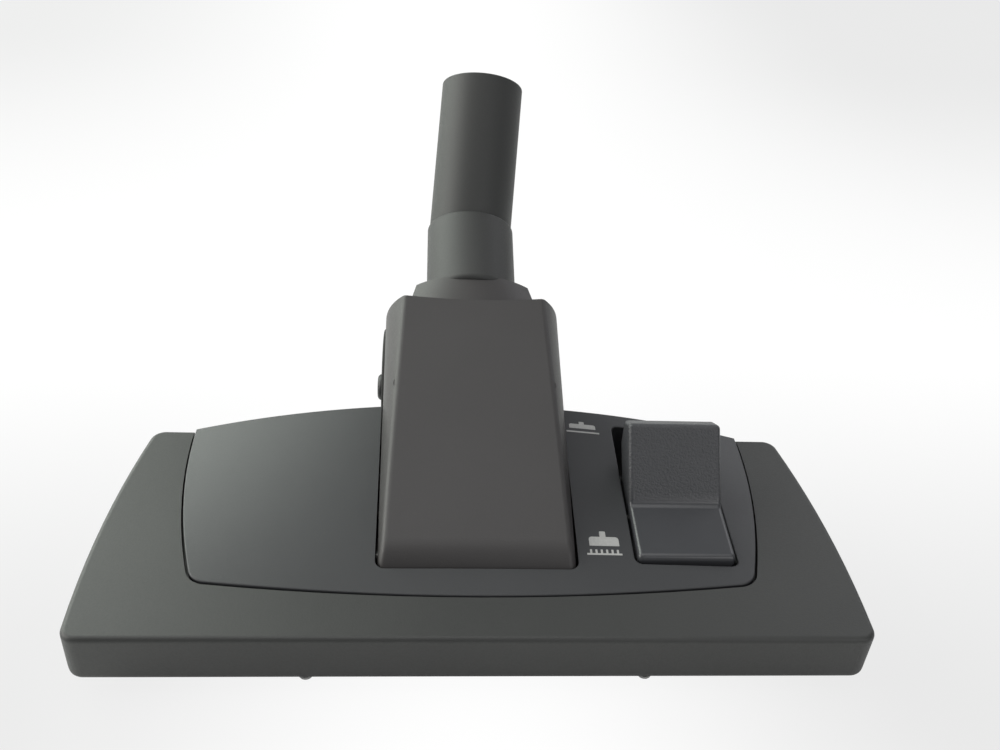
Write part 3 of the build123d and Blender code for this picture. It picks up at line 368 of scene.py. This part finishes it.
def ink_patch(bm, left, right, low, high, corner=0):
    """A flat patch of ink, sizes in mm, with its two upper corners rounded."""
    verts = bmesh.ops.create_grid(bm, x_segments=8, y_segments=3, size=0.5)["verts"]
    bmesh.ops.scale(bm, vec=((right - left) * MM, (high - low) * MM, 1), verts=verts)
    bmesh.ops.translate(bm, vec=((left + right) / 2 * MM, (low + high) / 2 * MM, 0), verts=verts)
    if corner:
        upper = [v for v in verts if v.co.y > (high - 0.01) * MM and len(v.link_edges) == 2]
        bmesh.ops.bevel(
            bm, geom=upper, offset=corner * MM, segments=3, profile=0.5, affect="VERTICES", material=-1
        )


def print_on_cover(name, bm):
    """Lays flat patches of ink on the crowned cover and gives them the thickness of a film."""
    for v in bm.verts:
        ground = cover_tree.ray_cast(Vector((v.co.x, v.co.y, ABOVE_ALL)), Vector((0, 0, -1)))[0]
        v.co.z = ground.z + INK_LIFT
    bmesh.ops.solidify(bm, geom=bm.faces[:], thickness=INK_FILM)
    add_piece(name, bm, mark_ink, "base")


# Mark for carpet: the head, its stem, and the line that it lies on
carpet = bmesh.new()
ink_patch(carpet, 40.5, 51.7, 48.5, 51.0, corner=1.0)
ink_patch(carpet, 44.8, 47.0, 51.0, 52.4, corner=0.5)
ink_patch(carpet, 39.1, 53.1, 46.1, 46.9)
print_on_cover("carpet_mark", carpet)

# Mark for hard floor: the head, its stem, and the line with a row of bristles on it
TICKS = 6
TICK_FIRST_X = 42.6
TICK_PITCH = 2.03
TICK_HALF = 0.4
hard = bmesh.new()
ink_patch(hard, 42.3, 53.7, -12.4, -8.2, corner=1.2)
ink_patch(hard, 46.6, 48.9, -8.2, -5.6, corner=0.4)
ink_patch(hard, 41.0, 54.3, -16.6, -15.8)
for tick in range(TICKS):
    tick_x = TICK_FIRST_X + TICK_PITCH * tick
    ink_patch(hard, tick_x - TICK_HALF, tick_x + TICK_HALF, -15.8, -14.1, corner=0.3)
print_on_cover("hard_floor_mark", hard)


# The bristle strips, in fewer filaments than a real tuft has

ROOT_BAR = 2.4 * MM
ROOT_EDGE = 0.3 * MM
TUFT_PITCH = 5.6 * MM
TUFT_SPREAD = 2.3 * MM
STRANDS = 26
STRAND_TURN = 2.4  # radians from one strand to the next, which fills a round tuft evenly
STRAND_TIP = 0.10 * MM
STRAND_ROOT = 0.16 * MM
SHORTEST = 0.93  # of the full length, where the trimming left a strand short


def bristle_row(node_name):
    """A root bar with tufts of separate filaments, in place of the solid tufts."""
    low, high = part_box(node_name)
    middle_y = (low[1] + high[1]) / 2
    root_z = high[2] - ROOT_BAR
    bm = bmesh.new()
    bar = bmesh.ops.create_cube(bm, size=1.0)["verts"]
    bmesh.ops.scale(bm, vec=(high[0] - low[0], high[1] - low[1], ROOT_BAR), verts=bar)
    bmesh.ops.translate(bm, vec=(0, middle_y, high[2] - ROOT_BAR / 2), verts=bar)
    bmesh.ops.bevel(
        bm, geom=bm.edges[:], offset=ROOT_EDGE, segments=2, profile=0.5, affect="EDGES", material=-1
    )
    tufts = int((high[0] - low[0]) / TUFT_PITCH)
    length = root_z - low[2]
    for tuft in range(tufts):
        middle_x = (tuft - (tufts - 1) / 2) * TUFT_PITCH
        for strand in range(STRANDS):
            turn = STRAND_TURN * strand
            reach = TUFT_SPREAD * math.sqrt((strand + 0.5) / STRANDS)
            cut = length * random.uniform(SHORTEST, 1.0)
            made = bmesh.ops.create_cone(
                bm, cap_ends=True, segments=5, radius1=STRAND_TIP, radius2=STRAND_ROOT, depth=cut
            )["verts"]
            at = (middle_x + reach * math.cos(turn), middle_y + reach * math.sin(turn), root_z - cut / 2)
            bmesh.ops.translate(bm, vec=at, verts=made)
    row = add_piece(node_name.replace("bristles", "filaments"), bm, bristle_nylon, "brush")
    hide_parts(node_name)


bristle_row("front_bristles")
bristle_row("rear_bristles")


# Floor

FLOOR_HALF = 12.0
floor_bm = bmesh.new()
bmesh.ops.create_grid(floor_bm, x_segments=1, y_segments=1, size=FLOOR_HALF)
bmesh.ops.translate(floor_bm, verts=floor_bm.verts, vec=(0, 0, cad_box[0][2]))
floor_mesh = bpy.data.meshes.new("studio_floor")
floor_bm.to_mesh(floor_mesh)
floor_bm.free()
floor = bpy.data.objects.new("studio_floor", floor_mesh)
scene.collection.objects.link(floor)

# Matt white paper: it reads as white to the camera, with painted shade that makes it a little greyer towards
# the sides.
# Its fibres are too fine to show, so only a slow change of tone is drawn.
paper, sheet, paper_place = start_material("paper matt floor sheet")
fibre = node(sheet, "TexNoise", {"Vector": paper_place, "Scale": per_metre(300), "Detail": 2.0})
tones = {"Factor": fibre.outputs["Fac"], "A": linear("#F6F6F6"), "B": linear("#FBFBFB")}
tone = node(sheet, "Mix", tones, data_type="RGBA")
spot = node(sheet, "SeparateXYZ", {"Vector": paper_place})
along = spot.outputs["Y"]
off_middle = node(sheet, "Math", {0: spot.outputs["X"]}, operation="ABSOLUTE").outputs[0]
away = node(sheet, "VectorMath", {0: paper_place}, operation="LENGTH").outputs["Value"]
# each zone of the floor runs smoothly from none to full between two distances, in metres
zones = {}
for zone, measured, none_at, full_at in (
    ("wide_far", off_middle, 0.0, 0.45),
    ("far", along, 0.10, 0.75),
    ("wide_near", off_middle, 0.0, 0.18),
    ("near", along, 0.20, -0.08),
    ("close_by", away, 2.4, 1.4),
    ("behind_front", along, -0.046, -0.038),
    ("before_rear", along, 0.082, 0.066),
    ("between_ends", off_middle, 0.125, 0.110),
):
    reach = {"Value": measured, "From Min": none_at, "From Max": full_at}
    zones[zone] = node(sheet, "MapRange", reach, interpolation_type="SMOOTHSTEP").outputs["Result"]
# painted shade turns the sides greyer near the head; under the head the glow is taken away, a painted shadow
# where no light reaches the paper
for zone, operation, first, second in (
    ("far_sides", "MULTIPLY", "wide_far", "far"),
    ("near_sides", "MULTIPLY", "wide_near", "near"),
    ("sides", "MAXIMUM", "far_sides", "near_sides"),
    ("painted_side_shade", "MULTIPLY", "sides", "close_by"),
    ("under_depth", "MULTIPLY", "behind_front", "before_rear"),
    ("under", "MULTIPLY", "under_depth", "between_ends"),
):
    zones[zone] = node(sheet, "Math", {0: zones[first], 1: zones[second]}, operation=operation).outputs[0]
# painted shade: the glow turns from white to grey towards the sides
tones = {"Factor": zones["painted_side_shade"], "A": linear("#FFFFFF"), "B": linear("#E7E7E7")}
glow = node(sheet, "Mix", tones, data_type="RGBA").outputs["Result"]
# painted shadow: the glow fades to nothing under the head
strength = node(sheet, "MapRange", {"Value": zones["under"], "To Min": 0.95, "To Max": 0.0}).outputs["Result"]
lit = node(sheet, "Emission", {"Color": glow, "Strength": strength})
# a dark matt share under the glow, on which the head's shadow falls
shaded = node(sheet, "BsdfDiffuse", {"Color": linear("#474747")})
seen = node(sheet, "AddShader", {0: lit.outputs[0], 1: shaded.outputs[0]})
# what the head itself gets back from the paper
matt = node(sheet, "BsdfDiffuse", {"Color": tone.outputs["Result"]})
looked_at = node(sheet, "LightPath").outputs["Is Camera Ray"]
either = node(sheet, "MixShader", {0: looked_at, 1: matt.outputs[0], 2: seen.outputs[0]})
node(sheet, "OutputMaterial", {"Surface": either.outputs[0]})
floor_mesh.materials.append(paper)


# Light: a dim room, a white backdrop where the camera looks past the floor, and softboxes

world = bpy.data.worlds.new("studio")
scene.world = world
world.use_nodes = True
sky = world.node_tree
sky.nodes.clear()
room = node(sky, "Background", {"Color": linear("#F4F5F6"), "Strength": 0.26})
backdrop = node(sky, "Background", {"Color": linear("#FFFFFF"), "Strength": 1.0})
looked_at = node(sky, "LightPath").outputs["Is Camera Ray"]
either = node(sky, "MixShader", {0: looked_at, 1: room.outputs[0], 2: backdrop.outputs[0]})
node(sky, "OutputWorld", {"Surface": either.outputs[0]})

HEAD_MIDDLE = Vector((0, 0.05, 0.03))


def softbox(name, place, width, height, watts, tint="#FFFFFF"):
    """A rectangular soft light that faces the middle of the head, in metres."""
    lamp = bpy.data.lights.new(name, "AREA")
    lamp.shape = "RECTANGLE"
    lamp.size = width
    lamp.size_y = height
    lamp.energy = watts
    lamp.color = linear(tint)[:3]
    made = bpy.data.objects.new(name, lamp)
    scene.collection.objects.link(made)
    made.location = place
    made.rotation_euler = (HEAD_MIDDLE - Vector(place)).to_track_quat("-Z", "Y").to_euler()


# daylight from the left, faintly green, and a cool fill from the right
softbox("key_left_rear", (-1.0, 1.2, 1.2), 1.2, 1.0, 15.2, "#F7FFF6")
softbox("low_left_rear", (-1.2, 1.0, 0.45), 1.2, 0.7, 8.0, "#F7FFF6")
softbox("fill_left", (-1.5, 0.0, 0.7), 1.2, 0.9, 15.5, "#FFFDF8")
softbox("high_left", (-1.0, 0.2, 1.5), 1.0, 1.0, 3.3)
softbox("top", (0.0, 0.0, 2.0), 1.4, 1.4, 8.8)
softbox("rim_right_rear", (1.1, 1.2, 0.9), 1.2, 0.9, 4.5, "#FAFAFF")
softbox("fill_front_right", (1.0, -1.2, 1.1), 1.0, 1.0, 5.5)


# The camera stands in front of the head, a little to its left, and looks down at it

CAMERA_PLACE = Vector((-22.4, -285.5, 284.3)) * MM
CAMERA_PITCH = 33.73
CAMERA_YAW = 5.48
CAMERA_ROLL = 4.29
FOCAL_PIXELS = 1000.0
IMAGE_WIDTH = 1000.0

lens = bpy.data.cameras.new("camera")
lens.sensor_fit = "HORIZONTAL"
lens.sensor_width = 36.0
lens.lens = FOCAL_PIXELS / IMAGE_WIDTH * lens.sensor_width
lens.clip_start = 0.01
camera = bpy.data.objects.new("camera", lens)
scene.collection.objects.link(camera)
camera.matrix_world = (
    Matrix.Translation(CAMERA_PLACE)
    @ Matrix.Rotation(math.radians(-CAMERA_YAW), 4, "Z")
    @ Matrix.Rotation(math.radians(90 - CAMERA_PITCH), 4, "X")
    @ Matrix.Rotation(math.radians(CAMERA_ROLL), 4, "Z")
)
scene.camera = camera
scene.view_settings.view_transform = "Standard"
